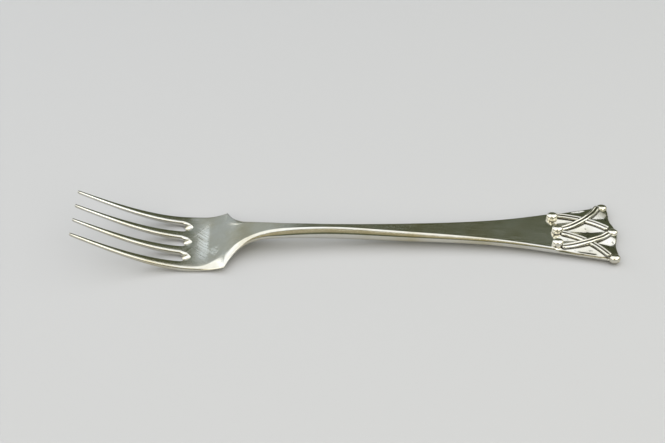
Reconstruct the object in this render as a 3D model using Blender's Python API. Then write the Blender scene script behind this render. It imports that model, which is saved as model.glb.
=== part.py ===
"""Child's silver fork, lying face up with its tines towards -X. Metres, +Z up.

One forged body (four tines, shallow bowl, slender stem and flared handle) carries the
ornament of its handle end: four reeded straps, crossed in pairs, between six set knobs.
The origin is on the table, under the middle of the fork.
"""
import math

import bmesh
import bpy
import numpy as np
from mathutils import Matrix, Vector

MM = 0.001

# Overall sizes
OVERALL_LENGTH = 150.0 * MM
ORNAMENT_LENGTH = 19.0 * MM

# Tines: straight tapers that rise from the bowl, with round-ended slots between them
TINE_COUNT = 4
TINE_LENGTH = 31.2 * MM
TINE_ROOT_PITCH = 5.97 * MM
TINE_TIP_PITCH = 5.65 * MM
TINE_ROOT_WIDTH = 3.0 * MM
TINE_TIP_WIDTH = 0.8 * MM
TINE_EDGE_ROUND = 0.5 * MM
TIP_ROUND = 0.7 * MM
SLOT_ROOT_SLOPE = 2.3 * MM

# Places of the neck and handle sections, as shares of the way to the next landmark
NECK_PLACE = 0.33
WAIST_PLACE = 0.14
STEM_PLACE = 0.42
HANDLE_PLACE = 0.7
FLARE_PLACE = 0.86

# Heights of the top line above the table
TIP_HEIGHT = 14.0 * MM
TINE_MIDDLE_HEIGHT = 5.85 * MM
ROOT_HEIGHT = 1.5 * MM
BOWL_HEIGHT = 1.6 * MM
SHOULDER_HEIGHT = 2.95 * MM
NECK_HEIGHT = 5.4 * MM
CREST_HEIGHT = 7.05 * MM
STEM_HEIGHT = 5.55 * MM
HANDLE_HEIGHT = 4.25 * MM
ORNAMENT_HEIGHT = 3.05 * MM
END_HEIGHT = 2.4 * MM

# Thickness of the body down its middle
TIP_THICKNESS = 1.0 * MM
TINE_THICKNESS = 1.35 * MM
BOWL_THICKNESS = 1.55 * MM
SHOULDER_THICKNESS = 1.8 * MM
CREST_THICKNESS = 3.5 * MM
STEM_THICKNESS = 3.9 * MM
HANDLE_THICKNESS = 3.1 * MM
ORNAMENT_THICKNESS = 2.75 * MM
END_THICKNESS = 2.65 * MM

# Bowl, shoulders and neck in plan
BOWL_LENGTH = 9.4 * MM
BOWL_DISH = 0.15 * MM
SHOULDER_WIDTH = 21.8 * MM
NECK_LENGTH = 16.4 * MM
NECK_SWEEP = 3.8 * MM

# Width of the flat top, and how far the rounded edge stands out from it
BOWL_FLAT = 17.9 * MM
SHOULDER_FLAT = 10.6 * MM
NECK_FLAT = 4.2 * MM
THROAT_FLAT = 2.3 * MM
CREST_FLAT = 2.0 * MM
WAIST_FLAT = 1.25 * MM
STEM_FLAT = 2.9 * MM
HANDLE_FLAT = 6.1 * MM
FLARE_FLAT = 9.3 * MM
ORNAMENT_FLAT = 13.5 * MM
END_FLAT = 21.8 * MM
STEM_EDGE_ROUND = 1.4 * MM
HANDLE_EDGE_ROUND = 0.8 * MM
END_EDGE_ROUND = 0.4 * MM

# Shape of the rounded edges: shares of the thickness, and the power of their curve
HEAD_TOP_FALL = 0.34
SHOULDER_TOP_FALL = 0.38
NECK_TOP_FALL = 0.28
STEM_TOP_FALL = 0.48
END_TOP_FALL = 0.2
HEAD_BACK_RISE = 0.34
STEM_BACK_RISE = 0.45
END_BACK_RISE = 0.5
PLATE_END_RISE = 0.2
ROUND_EDGE = 2.0
SHOULDER_EDGE = 1.2
STEEP_EDGE = 1.4
TIP_DRAW_IN = 0.6
TINE_ROUND_LIMIT = 0.7
BOWL_BACK_FLAT = 0.93
STEM_BACK_FLAT = 0.1
END_BACK_FLAT = 0.4

# Handle end: a plate with a scalloped edge
PLATE_SHORT_OF_END = 0.15 * MM
PLATE_END_SAG = 1.2 * MM
PLATE_END_SCALLOP = 0.44 * MM

# Sunk ground of the ornament: it slopes from the straps into valleys, with a low rim at the sides
SEAT_SUNK = 0.2 * MM
VALLEY_SLOPE = 0.2
VALLEY_DEPTH = 0.5 * MM
RIM_DROP = 0.22 * MM
RIM_SLOPE = 3.0
RIM_WIDTH = 0.8 * MM

# Knobs: egg-shaped beads, half let into the body
KNOB_LENGTH = 3.2 * MM
KNOB_WIDTH = 2.55 * MM
KNOB_HEIGHT = 2.4 * MM
INNER_KNOB_INSET = 1.45 * MM
INNER_KNOB_ADVANCE = 0.7 * MM
INNER_KNOB_SETBACK = 1.2 * MM
INNER_KNOB_RISE = 0.4 * MM
END_KNOB_INSET = 0.8 * MM
END_KNOB_SETBACK = 1.2 * MM
END_KNOB_HEIGHT = 1.55 * MM

# Straps: two round reeds side by side, halved into each other where they cross
STRAP_WIDTH = 1.9 * MM
STRAP_HEIGHT = 0.7 * MM
STRAP_SIDE = 0.2 * MM
STRAP_GROOVE_FLOOR = 0.4 * MM
STRAP_GROOVE_WIDTH = 0.12 * MM
STRAP_PAIR_GAP = 0.2 * MM
STRAP_KNOB_OFFSET = 0.85 * MM
OUTER_STRAP_BEND = (0.63, 0.23)
INNER_STRAP_BEND = (0.63, 0.26)
STRAP_HALVED_HEIGHT = 0.35 * MM
STRAP_HALVING_RUN = 0.5 * MM
STRAP_ARCH_RISE = 0.35 * MM
STRAP_ARCH_REACH = 4.8 * MM

# Solder gap left between pieces that are joined
SOLDER_GAP = 0.08 * MM
WELD_DISTANCE = 0.001 * MM

# Silvers, as colour and roughness, and the angle from which an edge of the body is sharp
FORGED_SILVER = (0.83, 0.82, 0.78), 0.12
STRAP_SILVER = (0.85, 0.84, 0.79), 0.1
KNOB_SILVER = (0.88, 0.87, 0.83), 0.08
SHARP_ANGLE = 30.0

# Fineness of the faceted surfaces
EDGE_LINES = (0.0, 0.3, 1.0)
SLOT_ROOT_ANGLES = (-45.0, 0.0, 45.0)
TIP_STATIONS = 3
TINE_STATIONS = 10
ROOT_STATIONS = (0.1, 0.3, 0.6)
BOWL_STATIONS = 7
NECK_STATIONS = 11
NECK_STATION_CROWD = 1.6
HANDLE_STATIONS = 14
ORNAMENT_STATIONS = 26
STRAP_STATIONS = 32
REED_POINTS = 6
KNOB_SEGMENTS = 14
KNOB_RINGS = 8

# Landmarks along the length
X_TIP = -OVERALL_LENGTH / 2
X_END = OVERALL_LENGTH / 2
X_ROOT = X_TIP + TINE_LENGTH
X_SHOULDER = X_ROOT + BOWL_LENGTH
X_CREST = X_SHOULDER + NECK_LENGTH
X_ORNAMENT = X_END - ORNAMENT_LENGTH
X_PLATE_END = X_END - PLATE_SHORT_OF_END


def along(start, end, share):
    """Point at a share of the way from start to end."""
    return start + (end - start) * share


def ease(share):
    """Smooth step from 0 to 1 as share goes from 0 to 1."""
    share = min(max(share, 0.0), 1.0)
    return share * share * (3 - 2 * share)


def curve_through(knots):
    """Smooth curve through (x, value) knots, as a function of x."""
    xs, values = (np.array(column) for column in zip(*knots))
    gaps = np.diff(xs)
    steps = np.diff(values) / gaps
    system = np.eye(len(xs))
    right = np.zeros(len(xs))
    for k in range(1, len(xs) - 1):
        system[k, k - 1:k + 2] = gaps[k - 1], 2 * (gaps[k - 1] + gaps[k]), gaps[k]
        right[k] = 6 * (steps[k] - steps[k - 1])
    bends = np.linalg.solve(system, right)

    def value(x):
        k = int(np.clip(np.searchsorted(xs, x) - 1, 0, len(gaps) - 1))
        a = (xs[k + 1] - x) / gaps[k]
        b = 1 - a
        bow = ((a ** 3 - a) * bends[k] + (b ** 3 - b) * bends[k + 1]) * gaps[k] ** 2 / 6
        return a * values[k] + b * values[k + 1] + bow

    return value


def edge_fall(share, power=ROUND_EDGE):
    """Fall of a rounded edge, 1 at the outline (share 0) and 0 at the flat (share 1)."""
    out = 1 - min(max(share, 0.0), 1.0)
    return 1 - (1 - out ** power) ** (1 / power)


# Lines of the body, as functions of x
top_line = curve_through((
    (X_TIP, TIP_HEIGHT),
    (along(X_TIP, X_ROOT, 0.5), TINE_MIDDLE_HEIGHT),
    (X_ROOT, ROOT_HEIGHT),
    (along(X_ROOT, X_SHOULDER, 0.5), BOWL_HEIGHT),
    (X_SHOULDER, SHOULDER_HEIGHT),
    (along(X_SHOULDER, X_CREST, NECK_PLACE), NECK_HEIGHT),
    (X_CREST, CREST_HEIGHT),
    (along(X_CREST, X_ORNAMENT, STEM_PLACE), STEM_HEIGHT),
    (along(X_CREST, X_ORNAMENT, HANDLE_PLACE), HANDLE_HEIGHT),
    (X_ORNAMENT, ORNAMENT_HEIGHT),
    (X_END, END_HEIGHT),
))
thickness = curve_through((
    (X_TIP, TIP_THICKNESS),
    (along(X_TIP, X_ROOT, 0.5), TINE_THICKNESS),
    (X_ROOT, BOWL_THICKNESS),
    (X_SHOULDER, SHOULDER_THICKNESS),
    (X_CREST, CREST_THICKNESS),
    (along(X_CREST, X_ORNAMENT, STEM_PLACE), STEM_THICKNESS),
    (along(X_CREST, X_ORNAMENT, HANDLE_PLACE), HANDLE_THICKNESS),
    (X_ORNAMENT, ORNAMENT_THICKNESS),
    (X_END, END_THICKNESS),
))
handle_flat = curve_through((
    (X_SHOULDER, CREST_FLAT / 2),
    (X_CREST, CREST_FLAT / 2),
    (along(X_CREST, X_ORNAMENT, WAIST_PLACE), WAIST_FLAT / 2),
    (along(X_CREST, X_ORNAMENT, STEM_PLACE), STEM_FLAT / 2),
    (along(X_CREST, X_ORNAMENT, HANDLE_PLACE), HANDLE_FLAT / 2),
    (along(X_CREST, X_ORNAMENT, FLARE_PLACE), FLARE_FLAT / 2),
    (X_ORNAMENT, ORNAMENT_FLAT / 2),
    (X_END, END_FLAT / 2),
))
edge_round = curve_through((
    (X_SHOULDER, STEM_EDGE_ROUND),
    (X_CREST, STEM_EDGE_ROUND),
    (along(X_CREST, X_ORNAMENT, WAIST_PLACE), STEM_EDGE_ROUND),
    (along(X_CREST, X_ORNAMENT, HANDLE_PLACE), HANDLE_EDGE_ROUND),
    (X_ORNAMENT, END_EDGE_ROUND),
    (X_END, END_EDGE_ROUND),
))


def tine_pitch(x):
    """Distance between tine middles."""
    return along(TINE_TIP_PITCH, TINE_ROOT_PITCH, (x - X_TIP) / TINE_LENGTH)


def tine_half_width(x):
    """Half the width of a tine, drawn in to a blunt round point at the tip."""
    half = along(TINE_TIP_WIDTH, TINE_ROOT_WIDTH, (x - X_TIP) / TINE_LENGTH) / 2
    return half * (1 - TIP_DRAW_IN * edge_fall((x - X_TIP) / TIP_ROUND))


def tine_edge_round(x):
    """Width of a tine's rounded edge."""
    return min(TINE_EDGE_ROUND, TINE_ROUND_LIMIT * tine_half_width(x))


ROOT_HALF_WIDTH = ((TINE_COUNT - 1) * TINE_ROOT_PITCH + TINE_ROOT_WIDTH) / 2
SLOT_HALF_WIDTH = (TINE_ROOT_PITCH - TINE_ROOT_WIDTH) / 2


def half_width(x):
    """Half the width of the fork, from above."""
    if x <= X_ROOT:
        return (TINE_COUNT - 1) * tine_pitch(x) / 2 + tine_half_width(x)
    if x <= X_SHOULDER:
        share = (x - X_ROOT) / BOWL_LENGTH
        return along(ROOT_HALF_WIDTH, SHOULDER_WIDTH / 2, share ** 2)
    shoulder_step = SHOULDER_WIDTH / 2 - handle_flat(X_SHOULDER) - edge_round(X_SHOULDER)
    return handle_flat(x) + edge_round(x) + shoulder_step * math.exp((X_SHOULDER - x) / NECK_SWEEP)


head_flat = curve_through((
    (X_ROOT, ROOT_HALF_WIDTH - TINE_EDGE_ROUND),
    (along(X_ROOT, X_SHOULDER, 0.5), BOWL_FLAT / 2),
    (X_SHOULDER, SHOULDER_FLAT / 2),
    (along(X_SHOULDER, X_CREST, NECK_PLACE), NECK_FLAT / 2),
    (along(X_SHOULDER, X_CREST, 2 * NECK_PLACE), THROAT_FLAT / 2),
    (X_CREST, CREST_FLAT / 2),
    (along(X_CREST, X_ORNAMENT, WAIST_PLACE), WAIST_FLAT / 2),
))


def flat_half_width(x):
    """Half the width of the flat top, inside the rounded edge."""
    if x <= X_ROOT:
        return half_width(x) - tine_edge_round(x)
    return head_flat(x) if x < X_CREST else handle_flat(x)


def top_fall_share(x):
    """Share of the thickness that the rounded top edge takes."""
    if x < X_SHOULDER:
        return along(HEAD_TOP_FALL, SHOULDER_TOP_FALL, ease((x - X_ROOT) / BOWL_LENGTH))
    if x < X_CREST:
        share = (x - X_SHOULDER) / NECK_LENGTH
        if share < NECK_PLACE:
            return along(SHOULDER_TOP_FALL, NECK_TOP_FALL, ease(share / NECK_PLACE))
        return along(NECK_TOP_FALL, STEM_TOP_FALL, ease((share - NECK_PLACE) / (1 - NECK_PLACE)))
    return along(STEM_TOP_FALL, END_TOP_FALL, min((x - X_CREST) / (X_ORNAMENT - X_CREST), 1.0))


def back_rise_share(x):
    """Share of the thickness that the rounded back edge takes."""
    if x < X_CREST:
        return along(HEAD_BACK_RISE, STEM_BACK_RISE, ease((x - X_ROOT) / BOWL_LENGTH))
    return along(STEM_BACK_RISE, END_BACK_RISE, ease((x - X_CREST) / (X_ORNAMENT - X_CREST)))


def top_edge_power(x):
    """Power of the top edge's curve: round on the tines, nearly a bevel at the shoulders."""
    if x < X_SHOULDER:
        return along(ROUND_EDGE, SHOULDER_EDGE, ease((x - X_ROOT) / BOWL_LENGTH))
    return along(SHOULDER_EDGE, STEEP_EDGE, ease((x - X_SHOULDER) / NECK_LENGTH))


def back_flat_half_width(x):
    """Half the width of the level part of the back; the stem's back is all round."""
    stem = ease((x - X_ROOT) / (BOWL_LENGTH + NECK_LENGTH))
    flare = ease((x - X_CREST) / (X_END - X_CREST))
    head = along(BOWL_BACK_FLAT, STEM_BACK_FLAT, stem)
    return half_width(x) * along(head, END_BACK_FLAT, flare)


# Ornament: places of the knobs and routes of the straps, in plan
INNER_KNOB_SPACING = ORNAMENT_FLAT / 2 - INNER_KNOB_INSET
END_KNOB_SPACING = END_FLAT / 2 - END_KNOB_INSET
inner_x = X_ORNAMENT + INNER_KNOB_SETBACK
end_x = X_END - KNOB_LENGTH / 2
KNOB_PLACES = {
    "knob_inner_far": (inner_x, INNER_KNOB_SPACING),
    "knob_inner_middle": (inner_x + INNER_KNOB_ADVANCE, 0.0),
    "knob_inner_near": (inner_x, -INNER_KNOB_SPACING),
    "knob_end_far": (end_x - END_KNOB_SETBACK, END_KNOB_SPACING),
    "knob_end_middle": (end_x, 0.0),
    "knob_end_near": (end_x - END_KNOB_SETBACK, -END_KNOB_SPACING),
}


def strap_route(start, bend_shares, end):
    """Points of a strap in plan, on one quadratic curve with its bend at shares of the way."""
    bend = [along(*pair) for pair in zip(start, end, bend_shares)]
    start, bend, end = (Vector(point) for point in (start, bend, end))
    shares = [k / (STRAP_STATIONS - 1) for k in range(STRAP_STATIONS)]
    return [start * (1 - t) ** 2 + bend * (2 * t * (1 - t)) + end * t ** 2 for t in shares]


def knob_exit(name, side):
    """X where a strap meets a knob's end, clear of it; side is +1 towards the handle's end."""
    return KNOB_PLACES[name][0] + side * (KNOB_LENGTH / 2 + 2 * SOLDER_GAP)


def outer_strap(side):
    """Route from an inner side knob to the middle end knob; side is +1 far, -1 near."""
    first = (knob_exit("knob_inner_far", 1), side * (INNER_KNOB_SPACING + STRAP_KNOB_OFFSET))
    last = (knob_exit("knob_end_middle", -1), side * (STRAP_WIDTH / 2 + 2 * STRAP_PAIR_GAP))
    return strap_route(first, OUTER_STRAP_BEND, last)


def inner_strap(side):
    """Route from the inner middle knob out to an end corner knob."""
    first = (knob_exit("knob_inner_middle", 1), side * (STRAP_WIDTH + STRAP_PAIR_GAP) / 2)
    last = (knob_exit("knob_end_far", -1), side * (END_KNOB_SPACING - STRAP_WIDTH / 2))
    return strap_route(first, INNER_STRAP_BEND, last)


# Each strap's route, the route it crosses, and whether it arches over that one
STRAPS = {
    "strap_far_to_middle": (outer_strap(1), inner_strap(1), False),
    "strap_middle_to_far": (inner_strap(1), outer_strap(1), True),
    "strap_middle_to_near": (inner_strap(-1), outer_strap(-1), False),
    "strap_near_to_middle": (outer_strap(-1), inner_strap(-1), True),
}


def hump(distance, flat, reach):
    """Smooth hump, 1 as far as its flat and 0 from its reach on."""
    return 1 - ease((distance - flat) / (reach - flat))


def plate_end(y):
    """X of the handle's scalloped end at a given y."""
    share = y / END_KNOB_SPACING
    scallop = PLATE_END_SCALLOP * (1 - math.cos(2 * math.pi * share))
    return X_PLATE_END - PLATE_END_SAG * share ** 2 - scallop


def seat_height(x):
    """Height on which the straps lie, a little under the flat of the handle."""
    return top_line(x) - SEAT_SUNK * ease((x - X_ORNAMENT) / INNER_KNOB_SETBACK)


def to_route(route, x, y):
    """Distance in plan from a strap's route."""
    return min(math.hypot(point.x - x, point.y - y) for point in route)


def valley_depth(x, y):
    """Depth of the ground under the strap seats: valleys between the straps and the rim."""
    to_strap = min(to_route(route, x, y) for route, _, _ in STRAPS.values()) - STRAP_WIDTH / 2
    to_rim = max(half_width(x) - abs(y) - RIM_WIDTH, 0.0)
    depth = min(VALLEY_SLOPE * to_strap, RIM_DROP + RIM_SLOPE * to_rim, VALLEY_DEPTH)
    opening = ease((x - X_ORNAMENT - INNER_KNOB_SETBACK / 2) / (KNOB_LENGTH / 2))
    return max(depth, 0.0) * opening


def nearest_slot(y, pitch):
    """Middle of the slot nearest to y."""
    slots = [(k - (TINE_COUNT - 2) / 2) * pitch for k in range(TINE_COUNT - 1)]
    return min(slots, key=lambda middle: abs(middle - y))


def edge_share(x, y, slot_root):
    """Place across the rounded edge: 0 on the outline, 1 or more on the flat.

    The rounding fades to a crisp edge towards the end of each slot.
    """
    shares = [(x - X_TIP) / TIP_ROUND]
    shares.append((half_width(x) - abs(y)) / (half_width(x) - flat_half_width(x)))
    if x < X_ROOT + BOWL_LENGTH / 2:
        round_start = slot_root - SLOT_HALF_WIDTH
        at = min(x, round_start)
        middle = nearest_slot(y, tine_pitch(at))
        if x <= round_start:
            from_slot = abs(y - middle) - (tine_pitch(x) / 2 - tine_half_width(x))
        else:
            from_slot = math.hypot(x - round_start, y - middle) - SLOT_HALF_WIDTH
        crisp = ease((x - round_start) / SLOT_HALF_WIDTH)
        shares.append(from_slot / tine_edge_round(at) + crisp)
    if x > X_ORNAMENT:
        shares.append((plate_end(y) - x) / END_EDGE_ROUND)
    return min(shares)


def top_height(x, y):
    """Top of the body."""
    sunk = 0.0
    if X_ROOT < x < X_SHOULDER:
        dish = math.sin(math.pi * (x - X_ROOT) / BOWL_LENGTH) ** 2
        sunk = BOWL_DISH * dish * math.cos(math.pi * y / SHOULDER_WIDTH) ** 2
    if x > X_ORNAMENT:
        sunk = top_line(x) - seat_height(x) + valley_depth(x, y)
    fall = edge_fall(edge_share(x, y, X_ROOT), top_edge_power(x))
    return top_line(x) - sunk - top_fall_share(x) * (thickness(x) - sunk) * fall


def back_height(x, y):
    """Underside of the body, flat on the table under the bowl and the handle's end."""
    middle = max(top_line(x) - thickness(x), 0.0)
    share = edge_share(x, y, X_ROOT - SLOT_ROOT_SLOPE)
    if x > X_ROOT:
        share = (half_width(x) - abs(y)) / (half_width(x) - back_flat_half_width(x))
    rise = back_rise_share(x) * edge_fall(share)
    if x > X_ORNAMENT:
        rise = max(rise, PLATE_END_RISE * edge_fall((plate_end(y) - x) / (2 * END_EDGE_ROUND)))
    return middle + (top_line(x) - middle) * rise


def line_layout():
    """Lines along the body at the slot roots, near to far: y, and angle round a slot's end."""
    edge = [TINE_ROOT_WIDTH / 2 - share * TINE_EDGE_ROUND for share in EDGE_LINES]
    across = [-offset for offset in edge] + edge[::-1]
    lines = []
    for tine in range(TINE_COUNT):
        middle = (tine - (TINE_COUNT - 1) / 2) * TINE_ROOT_PITCH
        lines += [(middle + offset, None) for offset in across]
        if tine < TINE_COUNT - 1:
            slot = middle + TINE_ROOT_PITCH / 2
            for angle in SLOT_ROOT_ANGLES:
                lines.append((slot + SLOT_HALF_WIDTH * math.sin(math.radians(angle)), angle))
    return lines


LINES = line_layout()
EDGE_COUNT = len(EDGE_LINES)
TINE_LINES = 2 * EDGE_COUNT
REPEAT_LINES = TINE_LINES + len(SLOT_ROOT_ANGLES)


def stations():
    """Stations along the body as (zone, share) from the tips to the handle's end."""
    rounded = [1 - math.cos(math.pi / 2 * k / TIP_STATIONS) for k in range(TIP_STATIONS)]
    tine = [TIP_ROUND * share for share in rounded]
    tine += list(np.linspace(TIP_ROUND, TINE_LENGTH - SLOT_HALF_WIDTH, TINE_STATIONS))
    result = [("tine", distance / (TINE_LENGTH - SLOT_HALF_WIDTH)) for distance in tine]
    result += [("root", share) for share in ROOT_STATIONS]
    bowl = [math.sin(math.pi / 2 * k / BOWL_STATIONS) for k in range(1, BOWL_STATIONS + 1)]
    result += [("bowl", share) for share in bowl]
    neck = [(k / NECK_STATIONS) ** NECK_STATION_CROWD for k in range(1, NECK_STATIONS + 1)]
    result += [("neck", share) for share in neck]
    result += [("handle", k / HANDLE_STATIONS) for k in range(1, HANDLE_STATIONS + 1)]
    plain = 1 - END_EDGE_ROUND / ORNAMENT_LENGTH
    result += [("end", plain * k / ORNAMENT_STATIONS) for k in range(1, ORNAMENT_STATIONS + 1)]
    result += [("end", along(1.0, plain, share)) for share in EDGE_LINES[-2::-1]]
    return result


STATIONS = stations()
ROOT_STATION = sum(zone == "tine" for zone, _ in STATIONS) - 1


def tine_point(line, share, slot_root):
    """Plan point on a tine's line, or on the round end of a slot."""
    y_root, angle = LINES[line]
    round_start = slot_root - SLOT_HALF_WIDTH
    x = along(X_TIP, round_start, share)
    if angle is not None:
        return round_start + SLOT_HALF_WIDTH * math.cos(math.radians(angle)), y_root
    tine = line // REPEAT_LINES
    middle = tine - (TINE_COUNT - 1) / 2
    place = line % REPEAT_LINES
    side = -1 if place < EDGE_COUNT else 1
    edge = EDGE_LINES[place if side < 0 else TINE_LINES - 1 - place]
    return x, middle * tine_pitch(x) + side * (tine_half_width(x) - edge * tine_edge_round(x))


def on_edge(line):
    """Whether a line runs in the rounded edge of the outline."""
    return min(line, len(LINES) - 1 - line) < EDGE_COUNT


def body_point(line, x):
    """Plan point on a line of bowl, neck or handle: outer lines follow the rounded edge."""
    outer, flat = half_width(x), flat_half_width(x)
    if on_edge(line):
        side = -1 if line < EDGE_COUNT else 1
        return side * along(outer, flat, EDGE_LINES[min(line, len(LINES) - 1 - line)])
    at_root = LINES[line][0] / (ROOT_HALF_WIDTH - TINE_EDGE_ROUND)
    even = 2 * (line - EDGE_COUNT + 1) / (len(LINES) - 2 * EDGE_COUNT + 1) - 1
    return flat * along(at_root, even, ease((x - X_ROOT) / (X_CREST - X_ROOT)))


def plan_point(station, line, slot_root):
    """Plan point of a crossing of the body's lines and stations."""
    zone, share = STATIONS[station]
    if zone == "tine":
        return tine_point(line, share, slot_root)
    if zone == "root":
        x_slot, y_slot = tine_point(line, 1.0, slot_root)
        x_bowl = along(X_ROOT, X_SHOULDER, math.sin(math.pi / 2 / BOWL_STATIONS))
        x = along(x_slot, x_bowl, share)
        if on_edge(line):
            return x, body_point(line, x)
        return x, along(y_slot, body_point(line, x_bowl), share)
    if zone == "bowl":
        x = along(X_ROOT, X_SHOULDER, share)
    elif zone == "neck":
        x = along(X_SHOULDER, X_CREST, share)
    elif zone == "handle":
        x = along(X_CREST, X_ORNAMENT, share)
    else:
        x = along(X_ORNAMENT, plate_end(0), share)
        y = body_point(line, x)
        return along(X_ORNAMENT, plate_end(y), share), y
    return x, body_point(line, x)


def in_slot(station, line):
    """Whether the cell after this station and line is open, between two tines."""
    return station < ROOT_STATION and line % REPEAT_LINES >= TINE_LINES - 1


def new_object(name, data, collection):
    """Object of the given name, linked to a collection."""
    made = bpy.data.objects.new(name, data)
    collection.objects.link(made)
    return made


def silver(name, colour, roughness):
    """Polished silver with its own colour and roughness."""
    material = bpy.data.materials.new(name)
    material.use_nodes = True
    shader = material.node_tree.nodes["Principled BSDF"]
    shader.inputs["Base Color"].default_value = (*colour, 1.0)
    shader.inputs["Metallic"].default_value = 1.0
    shader.inputs["Roughness"].default_value = roughness
    material.diffuse_color = (*colour, 1.0)
    return material


def make_body(collection, seat_cutters):
    """Forged body: a sheet in plan, thickened, shaped by its height lines and cut for the knobs."""
    bm = bmesh.new()
    rows, columns = len(STATIONS) - 1, len(LINES) - 1
    bmesh.ops.create_grid(bm, x_segments=rows, y_segments=columns, size=0.5)
    address = bm.verts.layers.int.new("address")
    for vert in bm.verts:
        station = round((vert.co.x + 0.5) * rows)
        line = round((vert.co.y + 0.5) * columns)
        vert[address] = station * len(LINES) + line
    slots = []
    for face in bm.faces:
        corner = min(vert[address] for vert in face.verts)
        if in_slot(*divmod(corner, len(LINES))):
            slots.append(face)
    bmesh.ops.delete(bm, geom=slots, context="FACES")
    top = bmesh.ops.extrude_face_region(bm, geom=bm.faces[:])["geom"]
    upper = {item for item in top if isinstance(item, bmesh.types.BMVert)}
    for vert in bm.verts:
        station, line = divmod(vert[address], len(LINES))
        if vert in upper:
            x, y = plan_point(station, line, X_ROOT)
            vert.co = (x, y, top_height(x, y))
        else:
            x, y = plan_point(station, line, X_ROOT - SLOT_ROOT_SLOPE)
            vert.co = (x, y, back_height(x, y))
    bmesh.ops.recalc_face_normals(bm, faces=bm.faces[:])
    mesh = bpy.data.meshes.new("fork_body")
    bm.to_mesh(mesh)
    bm.free()
    mesh.materials.append(silver("forged_silver", *FORGED_SILVER))
    mesh.shade_smooth()
    mesh.set_sharp_from_angle(angle=math.radians(SHARP_ANGLE))
    body = new_object("fork_body", mesh, collection)
    cut = body.modifiers.new("knob_seats", "BOOLEAN")
    cut.operation = "DIFFERENCE"
    cut.operand_type = "COLLECTION"
    cut.collection = seat_cutters
    cut.solver = "EXACT"
    return body


def knob_mesh(name, grow):
    """Egg-shaped bead, grown all round by a clearance."""
    bm = bmesh.new()
    bmesh.ops.create_uvsphere(bm, u_segments=KNOB_SEGMENTS, v_segments=KNOB_RINGS, radius=0.5)
    turn = Matrix.Rotation(math.pi / 2, 4, "Y")
    size = Matrix.Diagonal((KNOB_LENGTH + 2 * grow, KNOB_WIDTH + 2 * grow, KNOB_HEIGHT + 2 * grow, 1))
    bmesh.ops.transform(bm, matrix=size @ turn, verts=bm.verts)
    mesh = bpy.data.meshes.new(name)
    bm.to_mesh(mesh)
    bm.free()
    mesh.shade_smooth()
    return mesh


def knob_height(name):
    """Height of a knob's middle."""
    if "end" in name:
        return END_KNOB_HEIGHT
    return top_line(KNOB_PLACES[name][0]) + INNER_KNOB_RISE


def make_knobs(collection, seat_cutters):
    """Six knobs, each with the cutter of its seat."""
    finish = silver("knob_silver", *KNOB_SILVER)
    for name, (x, y) in KNOB_PLACES.items():
        mesh = knob_mesh(name, 0.0)
        mesh.materials.append(finish)
        knob = new_object(name, mesh, collection)
        seat = new_object(name + "_seat", knob_mesh(name + "_seat", SOLDER_GAP), seat_cutters)
        seat.hide_render = True
        seat.display_type = "WIRE"
        knob.location = seat.location = (x, y, knob_height(name))


def reed_profile(guides):
    """Cross-section of a strap: two round reeds on a flat back, as a closed flat curve."""
    reed = (STRAP_WIDTH - STRAP_GROOVE_WIDTH) / 4
    spread = reed + STRAP_GROOVE_WIDTH / 2
    points = [(-STRAP_WIDTH / 2, 0.0)]
    for middle in (-spread, spread):
        for k in range(REED_POINTS):
            angle = math.pi * (1 - k / (REED_POINTS - 1))
            base = STRAP_GROOVE_FLOOR if middle * math.cos(angle) < 0 else STRAP_SIDE
            points.append((middle + reed * math.cos(angle),
                           base + (STRAP_HEIGHT - base) * math.sin(angle)))
    points.append((STRAP_WIDTH / 2, 0.0))
    curve = bpy.data.curves.new("reed_profile", "CURVE")
    curve.dimensions = "2D"
    spline = curve.splines.new("POLY")
    spline.points.add(len(points) - 1)
    for point, (across, up) in zip(spline.points, points):
        point.co = (across, up, 0.0, 1.0)
    spline.use_cyclic_u = True
    profile = new_object("reed_profile", curve, guides)
    profile.hide_render = True
    profile.display_type = "WIRE"
    return profile


def strap_height(x, y, up, crossed, over):
    """Height of a strap's point; up is its height in the plain section."""
    to_crossed = to_route(crossed, x, y)
    covered = STRAP_WIDTH / 2 + 3 * SOLDER_GAP
    halved = hump(to_crossed, covered, covered + STRAP_HALVING_RUN)
    if over:
        bottom = halved * (STRAP_HALVED_HEIGHT + SOLDER_GAP)
        top = STRAP_HEIGHT + STRAP_ARCH_RISE * hump(to_crossed, covered, STRAP_ARCH_REACH)
    else:
        bottom = 0.0
        top = along(STRAP_HEIGHT, STRAP_HALVED_HEIGHT, halved)
    return seat_height(x) + SOLDER_GAP + along(bottom, top, up / STRAP_HEIGHT)


def make_straps(collection, guides):
    """Four reeded straps, swept flat along their routes and then laid on their seats."""
    finish = silver("strap_silver", *STRAP_SILVER)
    profile = reed_profile(guides)
    for name, (route, crossed, over) in STRAPS.items():
        curve = bpy.data.curves.new(name + "_route", "CURVE")
        curve.dimensions = "3D"
        curve.twist_mode = "Z_UP"
        curve.bevel_mode = "OBJECT"
        curve.bevel_object = profile
        curve.use_fill_caps = True
        spline = curve.splines.new("POLY")
        spline.points.add(len(route) - 1)
        for point, place in zip(spline.points, route):
            point.co = (*place, 0.0, 1.0)
        swept = new_object(name + "_route", curve, guides)
        seen = swept.evaluated_get(bpy.context.evaluated_depsgraph_get())
        mesh = bpy.data.meshes.new_from_object(seen)
        bpy.data.objects.remove(swept)
        bm = bmesh.new()
        bm.from_mesh(mesh)
        bmesh.ops.remove_doubles(bm, verts=bm.verts, dist=WELD_DISTANCE)
        for vert in bm.verts:
            x, y, up = vert.co
            vert.co.z = strap_height(x, y, up, crossed, over)
        bm.to_mesh(mesh)
        bm.free()
        mesh.materials.clear()
        mesh.materials.append(finish)
        mesh.shade_smooth()
        mesh.set_sharp_from_angle(angle=math.radians(SHARP_ANGLE))
        new_object(name, mesh, collection)


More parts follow.
